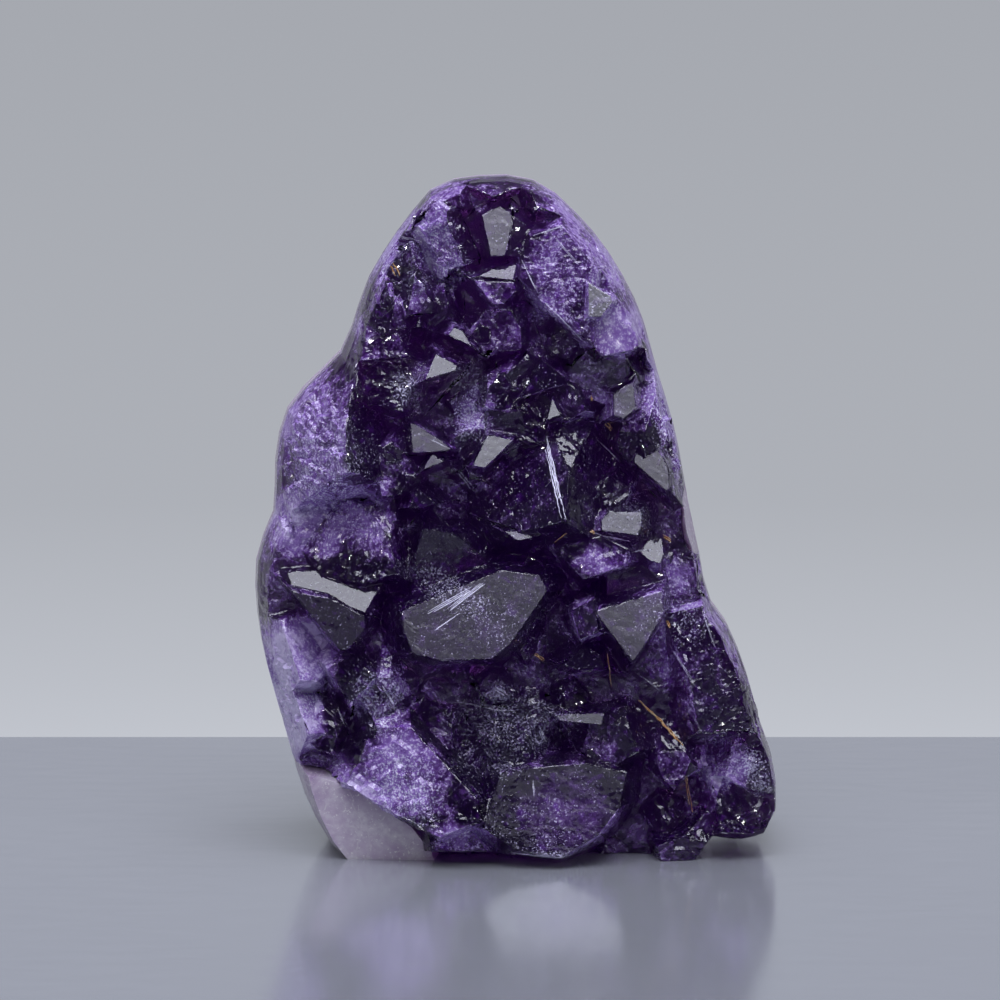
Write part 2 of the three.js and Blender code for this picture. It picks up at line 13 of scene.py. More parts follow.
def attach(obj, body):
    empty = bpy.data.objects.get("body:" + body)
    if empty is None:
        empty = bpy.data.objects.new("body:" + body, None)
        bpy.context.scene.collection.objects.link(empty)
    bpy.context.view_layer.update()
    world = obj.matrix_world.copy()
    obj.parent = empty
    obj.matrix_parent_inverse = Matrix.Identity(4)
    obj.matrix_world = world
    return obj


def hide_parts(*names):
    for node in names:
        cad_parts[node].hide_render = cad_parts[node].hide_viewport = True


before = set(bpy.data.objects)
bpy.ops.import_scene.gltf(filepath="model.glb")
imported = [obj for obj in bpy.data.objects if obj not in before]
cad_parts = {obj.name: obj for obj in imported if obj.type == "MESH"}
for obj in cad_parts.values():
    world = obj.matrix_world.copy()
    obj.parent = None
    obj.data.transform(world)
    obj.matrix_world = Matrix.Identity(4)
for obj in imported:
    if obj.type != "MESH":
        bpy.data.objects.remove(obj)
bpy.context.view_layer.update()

MM = 0.001

# Real sizes, in millimetres
EDGE_WEAR = 0.13                        # width of the worn edge along a crystal
WORN_ANGLE = 24                         # degrees: an edge that bends less than this isn't worn
JOINT_GAP = 0.3                         # clearance between the two solids
GAP_OVERLAP = 0.06                      # how far the root goes into the crust once that is closed

BOUNCES = 8                             # most bounces of a ray of light

# Quartz
QUARTZ_IOR = 1.544
ABSORPTION_COLOUR = (0.58, 0.02, 0.72, 1)
ABSORPTION_DENSITY = 200

# Colours, as scene-linear red, green and blue
CLEAR_QUARTZ = (0.95, 0.93, 1, 1)
DEEP_VIOLET = (0.016, 0.004, 0.045, 1)
MID_PURPLE = (0.130, 0.046, 0.265, 1)
# painted glow: a vivid violet that stands in for light shining through thin quartz
PAINTED_GLOW_VIOLET = (0.16, 0.02, 0.42, 1)
LAVENDER = (0.20, 0.115, 0.36, 1)
PALE_LILAC = (0.58, 0.50, 0.74, 1)
WHITE = (0.8, 0.8, 0.9, 1)
FROST_GREY = (0.50, 0.47, 0.66, 1)
IRON_STAIN = (0.50, 0.24, 0.07, 1)
PALE_STAIN = (0.75, 0.56, 0.34, 1)
PALE_QUARTZ = (0.52, 0.485, 0.53, 1)
CLOUDY_QUARTZ = (0.34, 0.28, 0.38, 1)
PINKISH_MAUVE = (0.29, 0.215, 0.335, 1)
AGATE_WHITE = (0.62, 0.60, 0.60, 1)
AGATE_GREY = (0.20, 0.22, 0.26, 1)
RIND_GREEN = (0.10, 0.115, 0.085, 1)
RIND_BROWN = (0.13, 0.085, 0.05, 1)
TABLE_GREY = (0.385, 0.40, 0.44, 1)


class Value:
    """A number, colour or vector that varies over a surface. Arithmetic on it adds Math nodes."""

    def __init__(self, finish, socket):
        self.finish = finish
        self.socket = socket

    def math(self, operation, *others):
        return self.finish.node("Math", {"operation": operation}, dict(enumerate(others)))

    def __add__(self, other):
        return self.math("ADD", self, other)

    def __sub__(self, other):
        return self.math("SUBTRACT", self, other)

    def __rsub__(self, other):
        return self.math("SUBTRACT", other, self)

    def __mul__(self, other):
        return self.math("MULTIPLY", self, other)

    def __truediv__(self, other):
        return self.math("DIVIDE", self, other)

    __radd__ = __add__
    __rmul__ = __mul__

    def larger(self, other):
        return self.math("MAXIMUM", self, other)

    def between(self, low, high):
        """0 below low, 1 above high, and a soft step in the middle."""
        settings = {"interpolation_type": "SMOOTHSTEP", "clamp": True}
        return self.finish.node("MapRange", settings, {"Value": self, "From Min": low, "From Max": high})


class Finish:
    """A material and the nodes that it is made of."""

    def __init__(self, name):
        self.material = bpy.data.materials.new(name)
        self.material.use_nodes = True
        self.tree = self.material.node_tree
        self.tree.nodes.clear()
        self.output = self.tree.nodes.new("ShaderNodeOutputMaterial")
        self.place = self.node("TexCoord", output="Object")

    def node(self, kind, settings=None, inputs=None, output=0):
        node = self.tree.nodes.new("ShaderNode" + kind)
        for name, value in (settings or {}).items():
            setattr(node, name, value)
        for name, value in (inputs or {}).items():
            if isinstance(value, Value):
                self.tree.links.new(value.socket, node.inputs[name])
            else:
                node.inputs[name].default_value = value
        return Value(self, node.outputs[output])

    def mix(self, factor, first, second):
        FACTOR, FIRST, SECOND, RESULT = 0, 6, 7, 2
        inputs = {FACTOR: factor, FIRST: first, SECOND: second}
        return self.node("Mix", {"data_type": "RGBA"}, inputs, RESULT)

    def noise(self, size, detail=3, rough=0.55, at=None, warp=0):
        """Clouds whose lumps are about as large as size, in millimetres."""
        inputs = {"Vector": at or self.place, "Scale": 1 / (size * MM), "Detail": detail, "Roughness": rough,
                  "Distortion": warp}
        return self.node("TexNoise", {}, inputs, "Fac")

    def warped(self, amount, size):
        """The place, pushed about by clouds: both in millimetres."""
        cloud = self.node("TexNoise", {}, {"Vector": self.place, "Scale": 1 / (size * MM)}, "Color")
        centred = self.node("VectorMath", {"operation": "SUBTRACT"}, {0: cloud, 1: (0.5, 0.5, 0.5)})
        push = self.node("VectorMath", {"operation": "SCALE"}, {0: centred, "Scale": amount * MM})
        return self.node("VectorMath", {"operation": "ADD"}, {0: self.place, 1: push})

    def stretched(self, scale, turn=(0, 0, 0)):
        rotation = [math.radians(angle) for angle in turn]
        return self.node("Mapping", {}, {"Vector": self.place, "Rotation": rotation, "Scale": scale})

    def mark(self, name):
        return self.node("Attribute", {"attribute_name": name}, output="Fac")

    def chips(self, size):
        """Height of flat, tilted chips, each about as large as size, in millimetres."""
        cells = {"Vector": self.place, "Scale": 1 / (size * MM)}
        tilt = self.node("TexVoronoi", {}, cells, "Color")
        middle = Value(self, tilt.socket.node.outputs["Position"])
        scaled = self.node("VectorMath", {"operation": "SCALE"}, {0: self.place, "Scale": 1 / (size * MM)})
        scaled_middle = self.node("VectorMath", {"operation": "SCALE"}, {0: middle, "Scale": 1 / (size * MM)})
        offset = self.node("VectorMath", {"operation": "SUBTRACT"}, {0: scaled, 1: scaled_middle})
        centred = self.node("VectorMath", {"operation": "SUBTRACT"}, {0: tilt, 1: (0.5, 0.5, 0.5)})
        return self.node("VectorMath", {"operation": "DOT_PRODUCT"}, {0: offset, 1: centred}, "Value")

    def bump(self, height, strength, distance):
        return self.node("Bump", {}, {"Height": height, "Strength": strength, "Distance": distance * MM})

    def principled(self, **inputs):
        named = {name.replace("_", " "): value for name, value in inputs.items()}
        return self.node("BsdfPrincipled", {}, named)

    def shade(self, factor, first, second):
        return self.node("MixShader", {}, {0: factor, 1: first, 2: second})

    def finish(self, surface, volume=None):
        self.tree.links.new(surface.socket, self.output.inputs["Surface"])
        if volume:
            self.tree.links.new(volume.socket, self.output.inputs["Volume"])
        return self.material


# Milky places on the crystals: middle and half-sizes along X and Z, turn and strength
MILKY = [
    ((-14, 88), (10, 9), -30, 0.75),           # upper left speckled crystals
    ((9, 86), (12, 11), -35, 0.6),             # big milky crystal
    ((15, 78), (6, 5), 0, 0.9),
    ((-30, 61), (9, 12), 10, 0.55),            # left, polished
    ((-31, 49), (10, 8), 0, 0.85),             # left, lower
    ((-22, 50), (9, 6), 30, 0.75),
    ((-32, 29), (8, 8), 0, 1.4),
    ((-34, 20), (8, 8), 0, 1.4),
    ((-26, 8), (13, 9), 40, 1.0),              # low left
    ((-17, 14), (9, 8), -45, 0.55),
    ((-20, 24), (7, 6), 0, 0.45),
    ((-8, 4), (6, 3.5), 0, 0.7),
    ((7, 8), (10, 7), 0, 1.2),                 # slate foot
    ((10.5, 36), (3, 4), 0, 0.7),
    ((24, 38), (8, 8), 0, 0.45),
    ((13, 44.5), (6, 3), 0, 0.5),
    ((22.5, 68), (4, 13), -12, 0.7),           # right rim
    ((27, 28), (9, 11), 0, 0.5),
    ((31, 14), (6, 6), 0, 0.8),
    ((-6, 66), (4, 4.5), 0, 0.6),
    ((10, 96), (10, 5), 40, 0.5),              # top rim
    ((-9, 97), (5, 3), 0, 0.5),
    ((10, 66), (8, 6), 0, 0.3),
    ((-2, 80), (10, 6), 0, 0.2),
]

# Places with a frost of fine white specks and with glitter: middle and half-sizes, turn and strength
FROSTED = [
    ((-10, 40), (10, 3), 25, 0.75),            # across the slate middle
    ((-1, 35), (9, 6), 0, 0.25),
    ((2, 6), (9, 5), 0, 0.3),                  # slate foot
    ((5, 1.6), (10, 1.4), 0, 1.0),
    ((-16, 69), (2.4, 5), -35, 1.0),           # left of the bright triangle
    ((-7, 69), (4, 6), 0, 0.7),
    ((-6.5, 65), (4, 4.5), 0, 0.9),
    ((-14, 88), (10, 8), 0, 0.6),
    ((9, 84), (10, 9), -35, 0.45),
    ((-28, 58), (8, 9), 0, 0.6),
    ((-20, 24), (5, 6), 0, 0.9),
    ((-2.5, 24.5), (3, 2), 0, 1.2),
    ((-1, 20), (12, 6), 0, 0.8),
    ((4, 18), (2, 3.5), 0, 1.0),
    ((-4, 15), (6, 3), 0, 0.8),
    ((-16, 11), (7, 7), 0, 0.7),
    ((-33, 24), (6, 8), 0, 0.7),
    ((24, 36), (6, 6), 0, 0.6),
    ((35.5, 13), (2.5, 5), -15, 1.1),
    ((30, 16), (5, 4), 0, 0.5),
    ((22.5, 64), (3, 12), -12, 0.7),
    ((17, 50), (5, 6), 0, 0.4),
]

# White veins of fibrous or crushed quartz, each from one point to another at X and Z, and how wide it is
STREAKS = [
    ((4.2, 62.6), (7.1, 50.6), 1.0),           # ridge of the dark centre
    ((11.6, 62), (16.4, 57), 0.16),
    ((-1, 1.7), (8, 1.5), 0.5),                # crushed lower edge
    ((2.5, 12.6), (2.8, 9.6), 0.22),
    ((0.8, 88.4), (3.4, 83), 0.25),            # border of the big milky crystal
    ((3.4, 83), (11.2, 75.2), 0.25),
    ((2.2, 91.6), (8, 93.6), 0.25),
    ((5.4, 91.8), (9.4, 87.4), 0.25),
    ((-3.4, 25.6), (-0.8, 24.2), 0.8),         # in the broken zone
    ((3.4, 19.6), (4.4, 16.6), 0.7),
    ((-10.5, 22.8), (1, 21.8), 0.2),
    ((-20, 26), (-17, 21), 0.5),
    ((-26.4, 22), (-24.6, 18.4), 0.25),
    ((-9.4, 57.6), (-6, 53.6), 0.9),           # banded patch
    ((22.4, 32), (26.6, 26), 0.25),
    ((18.6, 26.6), (21.4, 24.4), 0.25),
    ((27.4, 37), (29.5, 31), 0.2),
    ((-17.6, 91.4), (-14, 90.6), 0.7),
    ((11.4, 48.4), (17.4, 46.8), 0.3),
    ((17, 45.4), (20.4, 45.6), 0.3),
    ((-12.6, 62), (-9.6, 60.6), 0.16),
    ((-13, 36.8), (-6, 40.6), 0.7),            # fibres across the slate middle
    ((-10, 37.2), (-4, 41.6), 0.6),
    ((-12, 34.4), (-8, 37), 0.4),
]

WHITE_STRANDS = 4                       # side by side in each of them

# Golden seams of iron: the same
STAINS = [
    ((17.9, 23.1), (25.4, 16.3), 0.7),
    ((24.8, 13.8), (26.2, 6.0), 0.4),
    ((13.3, 64.2), (14.4, 62.6), 0.6),
    ((11, 68), (11.5, 67.2), 0.5),
    ((11, 49), (11.7, 48.3), 0.6),
    ((7.8, 48.7), (5.6, 46.4), 0.4),
    ((21.5, 47.4), (23.4, 46.2), 0.5),
    ((2, 30.2), (5, 28.2), 0.5),
    ((13.6, 30.4), (14.3, 24.8), 0.35),
    ((22.4, 35), (23, 33.8), 0.5),
    ((-18.6, 88), (-17.2, 85.4), 0.7),
]

IRON_STRANDS = 2

# Places where the surface is broken into small facets: middle and half-sizes along X and Z, turn and strength
BROKEN = [
    ((-13.5, 89.5), (10, 10), -30, 1.0),       # upper left speckled crystals
    ((10, 83), (12, 12), -35, 0.35),           # big milky crystal
    ((-30, 60), (8, 12), 10, 0.9),             # left, polished
    ((-27, 49), (12, 6), 0, 0.8),
    ((-34, 24), (7, 10), 0, 0.6),
    ((-22, 9), (13, 10), 0, 1.0),              # low left
    ((-22, 21), (8, 7), 0, 0.8),
    ((-2, 21), (13, 7), 0, 1.0),               # glassy and broken, over the foot
    ((29, 22), (9, 14), -15, 0.8),             # right lobe
    ((32, 11), (8, 7), 0, 0.6),
    ((27, 42), (4, 8), 0, 0.6),
    ((24, 62), (3, 12), -12, 0.7),
    ((-7.5, 67), (5, 5), 0, 0.7),
    ((-7, 55), (4, 4), 0, 0.9),
    ((12, 68), (7, 6), 0, 0.35),
    ((-4, 78), (8, 5), 0, 0.3),
    ((-20, 68), (7, 6), 0, 0.3),
    ((0, 97), (12, 4), 0, 0.5),
    ((20, 24), (5, 8), 0, 0.5),
]
CHIP_SIZE = 3.2                         # across one broken facet
CHIP_DEPTH = 0.9
FINE_CHIP_SIZE = 1.3
FINE_CHIP_DEPTH = 0.4
LEAST_BROKEN = 0.22                     # how far the rest of the front is broken
BROKEN_FROM = -3                        # Y of the plane that the breaking stops at
BROKEN_EDGE = 0.85                      # longest edge of the mesh in front of that plane
PLAIN_EDGE = 2.2                        # and behind it
CLEAN_SHARE = 0.08                      # how much of the breaking is left on the mirror-like facets


def amethyst():
    """Clear purple quartz under a veil that is milky in places, with specks of frost and small spots of
    painted violet glow.
    """
    CLOUD, SPECKLE, SPECK, PAINTED_GLOW_SPOT, RELIEF, CHIP, GLITTER = 4, 0.6, 0.3, 1.7, 2.2, 2.4, 0.8    # sizes
    GROUND_MILK, CLEAR_MIRROR, EVEN_MIRROR, SMOOTH_MIRROR = 0.15, 0.75, 0.6, 0.85
    THINNEST_VEIL, MILKY_VEIL, FROST_VEIL = 0.18, 0.78, 0.7
    BUMP, BUMP_DEPTH = 0.3, 0.25
    finish = Finish("amethyst")
    cloud = finish.noise(CLOUD, detail=4, rough=0.65, warp=0.6)
    speckle = finish.noise(SPECKLE, detail=3, rough=0.75)
    ground, tone, mirror = (finish.mark(name) for name in ("ground", "tone", "mirror"))
    field = finish.mark("milkiness").larger(ground * GROUND_MILK) * (1 - CLEAR_MIRROR * mirror)
    uneven = (cloud - 0.5) * 2.9 + (speckle - 0.5) * 1.6 + (tone - 0.5) * (0.6 - 0.5 * ground)
    milk = field * 1.5 + uneven * (1 - EVEN_MIRROR * mirror) - 0.02
    cover = milk.between(0, 1)
    frosted = finish.mark("frost")
    frost = (finish.noise(SPECK, detail=2, rough=0.7) + 0.2 * cloud + 0.13 * frosted - 0.71).between(0, 0.1)
    # small spots of painted violet glow, placed at random, standing in for light shining through thin quartz
    painted_glow = finish.noise(PAINTED_GLOW_SPOT, detail=2).between(0.6, 0.68)
    height = (finish.noise(RELIEF, detail=3) * 0.8 + finish.chips(CHIP) * 0.9) * (1 - SMOOTH_MIRROR * mirror)
    glitter = finish.chips(GLITTER) * frosted * (3.5 - 3 * mirror)
    normal = finish.bump(height + glitter, BUMP, BUMP_DEPTH)
    crystal = finish.principled(
        Base_Color=CLEAR_QUARTZ, Roughness=0.015 + 0.12 * cover + 0.12 * ground, IOR=QUARTZ_IOR,
        Transmission_Weight=1, Normal=normal)
    colour = finish.mix(milk.between(-0.15, 0.45), DEEP_VIOLET, MID_PURPLE)
    # mixes the painted violet glow into the veil colour
    colour = finish.mix(painted_glow * 0.7, colour, PAINTED_GLOW_VIOLET)
    colour = finish.mix(milk.between(0.35, 1.1), colour, LAVENDER)
    colour = finish.mix(milk.between(1.1, 2.1) * 0.8, colour, PALE_LILAC)
    colour = finish.mix(speckle.between(0.5, 0.72) * milk.between(0.2, 0.8), colour, PALE_LILAC)
    colour = finish.mix(frost, colour, FROST_GREY)
    veil = finish.principled(
        Base_Color=colour, Roughness=0.1 + 0.2 * speckle + 0.1 * ground, IOR=QUARTZ_IOR, Normal=normal)
    surface = finish.shade((cover * MILKY_VEIL + THINNEST_VEIL).larger(frost * FROST_VEIL), crystal, veil)
    volume = finish.node("VolumeAbsorption", {}, {"Color": ABSORPTION_COLOUR, "Density": ABSORPTION_DENSITY})
    return finish.finish(surface, volume)


def crushed_quartz():
    """White, fibrous quartz of the veins."""
    finish = Finish("crushed_quartz")
    fibre = finish.noise(0.35, detail=3, rough=0.7)
    colour = finish.mix(fibre.between(0.4, 0.65), FROST_GREY, WHITE)
    body = finish.principled(
        Base_Color=colour, Roughness=0.35 + 0.3 * fibre, IOR=QUARTZ_IOR, Normal=finish.bump(fibre, 0.5, 0.1))
    return finish.finish(body)


def iron_stain():
    """Golden iron in the seams."""
    finish = Finish("iron_stain")
    fibre = finish.noise(0.5, detail=3, rough=0.7)
    colour = finish.mix(fibre.between(0.4, 0.65), IRON_STAIN, PALE_STAIN)
    body = finish.principled(
        Base_Color=colour, Roughness=0.5 + 0.2 * fibre, Normal=finish.bump(fibre, 0.5, 0.1))
    return finish.finish(body)


def milky_quartz():
    """Pale cloudy quartz, with thin agate bands before the rough grey-green rind at the back."""
    BANDS_START, RIND_START, SOFT, BAND_WIDTH = 9.5, 12.6, 0.3, 0.55    # the first two are places along Y
    CLOUD, FINE, CRACKED, SPECK, WAVE = 7, 1.1, 6, 0.45, 14             # sizes
    finish = Finish("milky_quartz")
    x, y, z = (finish.node("SeparateXYZ", {}, {0: finish.place}, axis) / MM for axis in "XYZ")
    cloud = finish.noise(CLOUD, detail=4, rough=0.6, warp=0.5)
    fine = finish.noise(FINE, detail=4, rough=0.7)
    crack = finish.node("TexVoronoi", {"feature": "DISTANCE_TO_EDGE"}, {
        "Vector": finish.warped(3, 2.4), "Scale": 1 / (CRACKED * MM)}, "Distance")
    crack = (0.04 - crack).between(0, 0.04) * fine.between(0.45, 0.65)
    speck = finish.noise(SPECK, detail=2, rough=0.6).between(0.62, 0.7)
    rind = finish.mark("rind")
    depth = y + (finish.noise(WAVE, detail=3) - 0.5) * 5
    colour = finish.mix((cloud + z / 90 - 0.08).between(0.3, 0.7), PALE_QUARTZ, PINKISH_MAUVE)
    colour = finish.mix(fine.between(0.35, 0.65) * 0.6, colour, CLOUDY_QUARTZ)
    colour = finish.mix((crack * 0.45).larger(speck * 0.8), colour, AGATE_WHITE)
    band = (depth / BAND_WIDTH).math("SINE", depth / BAND_WIDTH).between(-0.6, 0.6)
    bands = finish.mix(band, AGATE_GREY, AGATE_WHITE)
    colour = finish.mix(depth.between(BANDS_START - SOFT, BANDS_START + SOFT), colour, bands)
    skin = finish.mix(fine.between(0.4, 0.6), RIND_GREEN, RIND_BROWN)
    outer = rind.larger(depth.between(RIND_START - SOFT, RIND_START + SOFT))
    colour = finish.mix(outer, colour, skin)
    height = cloud * 0.5 + fine * (0.25 + 1.2 * rind) + crack * 0.2
    body = finish.principled(
        Base_Color=colour, Roughness=0.2 + 0.1 * fine + 0.5 * outer, IOR=QUARTZ_IOR,
        Subsurface_Weight=0.3, Subsurface_Radius=(0.004, 0.003, 0.004), Subsurface_Scale=1,
        Normal=finish.bump(height, 0.35, 0.4))
    return finish.finish(body)


def table_top():
    """Brushed grey metal, which the cluster is mirrored in."""
    finish = Finish("table_top")
    grain = finish.noise(3, detail=5, at=finish.stretched((0.3, 1, 1)))
    body = finish.principled(
        Base_Color=TABLE_GREY, Roughness=0.1 + 0.12 * grain, Metallic=0.6, IOR=1.5,
        Normal=finish.bump(grain, 0.06, 0.1))
    return finish.finish(body)


def choose_only(piece):
    bpy.ops.object.select_all(action="DESELECT")
    piece.select_set(True)
    bpy.context.view_layer.objects.active = piece


def merged_copy(node, name):
    """A copy of a solid whose loose triangles are merged into flat facets."""
    MERGE = 0.02 * MM
    FLAT = math.radians(0.6)
    piece = bpy.data.objects.new(name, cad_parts[node].data.copy())
    bpy.context.scene.collection.objects.link(piece)
    piece.data.materials.clear()
    choose_only(piece)
    bpy.ops.object.mode_set(mode="EDIT")
    bpy.ops.mesh.select_all(action="SELECT")
    bpy.ops.mesh.remove_doubles(threshold=MERGE)
    bpy.ops.mesh.dissolve_degenerate(threshold=MERGE)
    bpy.ops.mesh.dissolve_limited(angle_limit=FLAT)
    bpy.ops.object.mode_set(mode="OBJECT")
    return piece


def wear_edges(piece, width, angle):
    """Cuts a narrow flat along each edge that bends by more than the angle, in degrees."""
    bevel = piece.modifiers.new("worn edges", "BEVEL")
    bevel.width = width * MM
    bevel.segments = 1
    bevel.limit_method = "ANGLE"
    bevel.angle_limit = math.radians(angle)
    bevel.use_clamp_overlap = False
    choose_only(piece)
    bpy.ops.object.modifier_apply(modifier=bevel.name)


def oval_field(places, x, z):
    """The strongest of many ovals seen from the front: full in its inner half, 0 at its edge and outside."""
    most = 0
    for at, half, turn, strength in places:
        angle = math.radians(turn)
        right, up = x - at[0], z - at[1]
        along = (right * math.cos(angle) - up * math.sin(angle)) / half[0]
        across = (right * math.sin(angle) + up * math.cos(angle)) / half[1]
        most = max(most, strength * min(1, 2 * (1 - math.hypot(along, across))))
    return most


def chip_height(point, size):
    """Height of flat, tilted chips, each about as large as size."""
    scaled = point / size
    _, nearest = noise.voronoi(scaled)
    tilt = noise.cell_vector(nearest[0] * 17.3)
    return tilt.dot(scaled - nearest[0])


def breaking_at(point):
    """How far the surface is broken at a point, from 0 to 1."""
    if point.y > BROKEN_FROM * MM:
        return 0
    return max(LEAST_BROKEN, oval_field(BROKEN, point.x / MM, point.z / MM))


def cut_long_edges(piece):
    """Halves the long edges until none is left or the rounds run out, to shorter ones in front."""
    MOST_ROUNDS = 6
    mesh = piece.data
    for _ in range(MOST_ROUNDS):
        choose_only(piece)
        bpy.ops.object.mode_set(mode="EDIT")
        bpy.ops.mesh.select_all(action="SELECT")
        bpy.ops.mesh.quads_convert_to_tris()
        bpy.ops.mesh.select_all(action="DESELECT")
        bpy.ops.mesh.select_mode(type="EDGE")
        bpy.ops.object.mode_set(mode="OBJECT")
        places = [vertex.co for vertex in mesh.vertices]
        count = 0
        for edge in mesh.edges:
            first, second = (places[i] for i in edge.vertices)
            length = (first - second).length / MM
            broken = length > BROKEN_EDGE and breaking_at((first + second) / 2) > 0
            edge.select = length > PLAIN_EDGE or broken
            count += edge.select
        if not count:
            break
        bpy.ops.object.mode_set(mode="EDIT")
        bpy.ops.mesh.subdivide(number_cuts=1)
        bpy.ops.object.mode_set(mode="OBJECT")


def chip_move(vertex, share):
    """How far a vertex moves along its normal when the surface there breaks into chips."""
    SUNK = 0.25
    weight = breaking_at(vertex.co) * share
    move = 0
    if weight > 0:
        place = vertex.co / MM
        move = CHIP_DEPTH * chip_height(place, CHIP_SIZE)
        move += FINE_CHIP_DEPTH * chip_height(place, FINE_CHIP_SIZE)
        move -= SUNK * (CHIP_DEPTH + FINE_CHIP_DEPTH)
    return vertex.normal * (move * weight * MM)


def break_surface(piece):
    """Tilts the broken places as small chips, and marks how milky and how frosted each vertex is."""
    mesh = piece.data
    cut_long_edges(piece)
    clean = set()
    for face, mark in zip(mesh.polygons, mesh.attributes["mirror"].data):
        if mark.value > 0.5:
            clean.update(face.vertices)
    moves = [chip_move(vertex, CLEAN_SHARE if vertex.index in clean else 1) for vertex in mesh.vertices]
    for name, places in (("milkiness", MILKY), ("frost", FROSTED)):
        field = [oval_field(places, vertex.co.x / MM, vertex.co.z / MM) for vertex in mesh.vertices]
        mesh.attributes.new(name, "FLOAT", "POINT").data.foreach_set("value", field)
    for vertex, move in zip(mesh.vertices, moves):
        vertex.co += move
        vertex.co.z = max(vertex.co.z, 0)


def is_mirror(face):
    """True for the clean facets that face the viewer and lean back a little, and so reflect the lights."""
    STEEPEST, SIDEWAYS, LOWEST, LEAST = 50, 9, 17, 1.5
    up = math.degrees(math.asin(max(-1, min(1, face.normal.z))))
    right = math.degrees(math.atan2(face.normal.x, -face.normal.y))
    return LOWEST < up < STEEPEST and abs(right) < SIDEWAYS and face.area > LEAST * MM * MM


def mark_faces(piece, name, values):
    piece.data.attributes.new(name, "FLOAT", "FACE").data.foreach_set("value", values)


def ground_faces(piece):
    """1 for each face that was ground and polished, where faces meet at small angles, and 0 for the rest."""
    FLATTEST, STEEPEST = math.radians(0.7), math.radians(15)
    shape = bmesh.new()
    shape.from_mesh(piece.data)
    marks = []
    for face in shape.faces:
        soft = 0
        for edge in face.edges:
            if len(edge.link_faces) == 2:
                soft += FLATTEST < edge.calc_face_angle() < STEEPEST
        marks.append(float(soft >= 2))
    shape.free()
    return marks


def mark_crystal_faces(piece):
    """Marks the ground faces and the mirror-like ones, and gives each face a tone of its own."""
    TONE_SPREAD = 3.7
    mark_faces(piece, "ground", ground_faces(piece))
    mark_faces(piece, "tone", [noise.cell(face.center / MM * TONE_SPREAD) for face in piece.data.polygons])
    mark_faces(piece, "mirror", [float(is_mirror(face)) for face in piece.data.polygons])


def close_gap(piece, other):
    """Moves the points of one piece that face the other across the gap, until the two just overlap."""
    tree = BVHTree.FromPolygons([v.co for v in other.data.vertices], [p.vertices for p in other.data.polygons])
    reach = 1.5 * JOINT_GAP * MM
    for vertex in piece.data.vertices:
        nearest, _, _, distance = tree.find_nearest(vertex.co)
        if distance and distance < reach:
            vertex.co += (nearest - vertex.co) * (1 + GAP_OVERLAP * MM / distance)


def make_crystals():
    piece = merged_copy("crystals", "amethyst_points")
    mark_crystal_faces(piece)
    wear_edges(piece, EDGE_WEAR, WORN_ANGLE)
    break_surface(piece)
    piece.data.materials.append(amethyst())
    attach(piece, "root")
    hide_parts("crystals")
    return piece


def roughen_rind(piece):
    """Marks the back as rind, cuts it finely and makes it lumpy."""
    LUMPS, PITS = (4.5, 0.5), (1.4, 0.22)
    BACKWARDS, CUTS, SUNK = 0.35, 3, 0.6
    mesh = piece.data
    marks = [float(face.normal.y > BACKWARDS and face.center.y > 0) for face in mesh.polygons]
    mark_faces(piece, "rind", marks)
    for _ in range(CUTS):
        choose_only(piece)
        bpy.ops.object.mode_set(mode="EDIT")
        bpy.ops.mesh.select_all(action="DESELECT")
        bpy.ops.mesh.select_mode(type="FACE")
        bpy.ops.object.mode_set(mode="OBJECT")
        for face, mark in zip(mesh.polygons, mesh.attributes["rind"].data):
            face.select = mark.value > 0.5
        bpy.ops.object.mode_set(mode="EDIT")
        bpy.ops.mesh.quads_convert_to_tris()
        bpy.ops.mesh.subdivide(number_cuts=1)
        bpy.ops.object.mode_set(mode="OBJECT")
    inner = set()
    for face, mark in zip(mesh.polygons, mesh.attributes["rind"].data):
        if mark.value < 0.5:
            inner.update(face.vertices)
    outer = [vertex for vertex in mesh.vertices if vertex.normal.y > BACKWARDS and vertex.index not in inner]
    for vertex in outer:
        place = vertex.co / MM
        lump = sum(depth * (noise.fractal(place / size, 1, 2, 3) - SUNK) for size, depth in (LUMPS, PITS))
        vertex.co.y += lump * MM


def strand(name, ground, start, end, width, between):
    """A thin vein on the surface, from one point to another as seen from the front, uneven and tapered."""
    STEP, WANDER, JUMP = 0.45, 0.2, 1.2         # it starts afresh where the surface jumps back or forth
    FRONT, FEWEST = -0.1, 5                     # the first is a Y well in front of the cluster, in metres
    THINNEST, UNEVEN = 0.35, (0.45, 1.1)
    (x, z), (to_x, to_z) = start, end
    count = max(FEWEST, int(math.hypot(to_x - x, to_z - z) / STEP))
    places = []
    for i in range(count + 1):
        share = i / count
        wander = WANDER * width * between(-1, 1)
        along = Vector((x + (to_x - x) * share + wander, 0, z + (to_z - z) * share + wander)) * MM
        along.y = FRONT
        place, _, _, _ = ground.ray_cast(along, Vector((0, 1, 0)))
        if place and place.z > width * MM:
            places.append((place, share))
    curve = bpy.data.curves.new(name, "CURVE")
    curve.dimensions = "3D"
    curve.bevel_depth = width * MM / 2
    curve.bevel_resolution = 1
    curve.use_fill_caps = True
    spline = None
    before = None
    for place, share in places:
        if before is None or abs(place.y - before.y) > JUMP * MM:
            spline = curve.splines.new("POLY")
        else:
            spline.points.add(1)
        before = place
        point = spline.points[-1]
        point.co = (*place, 1)
        bulge = math.sin(math.pi * (0.1 + 0.8 * share))
        point.radius = (THINNEST + (1 - THINNEST) * bulge) * between(*UNEVEN)
    vein = bpy.data.objects.new(name, curve)
    bpy.context.scene.collection.objects.link(vein)
    return vein


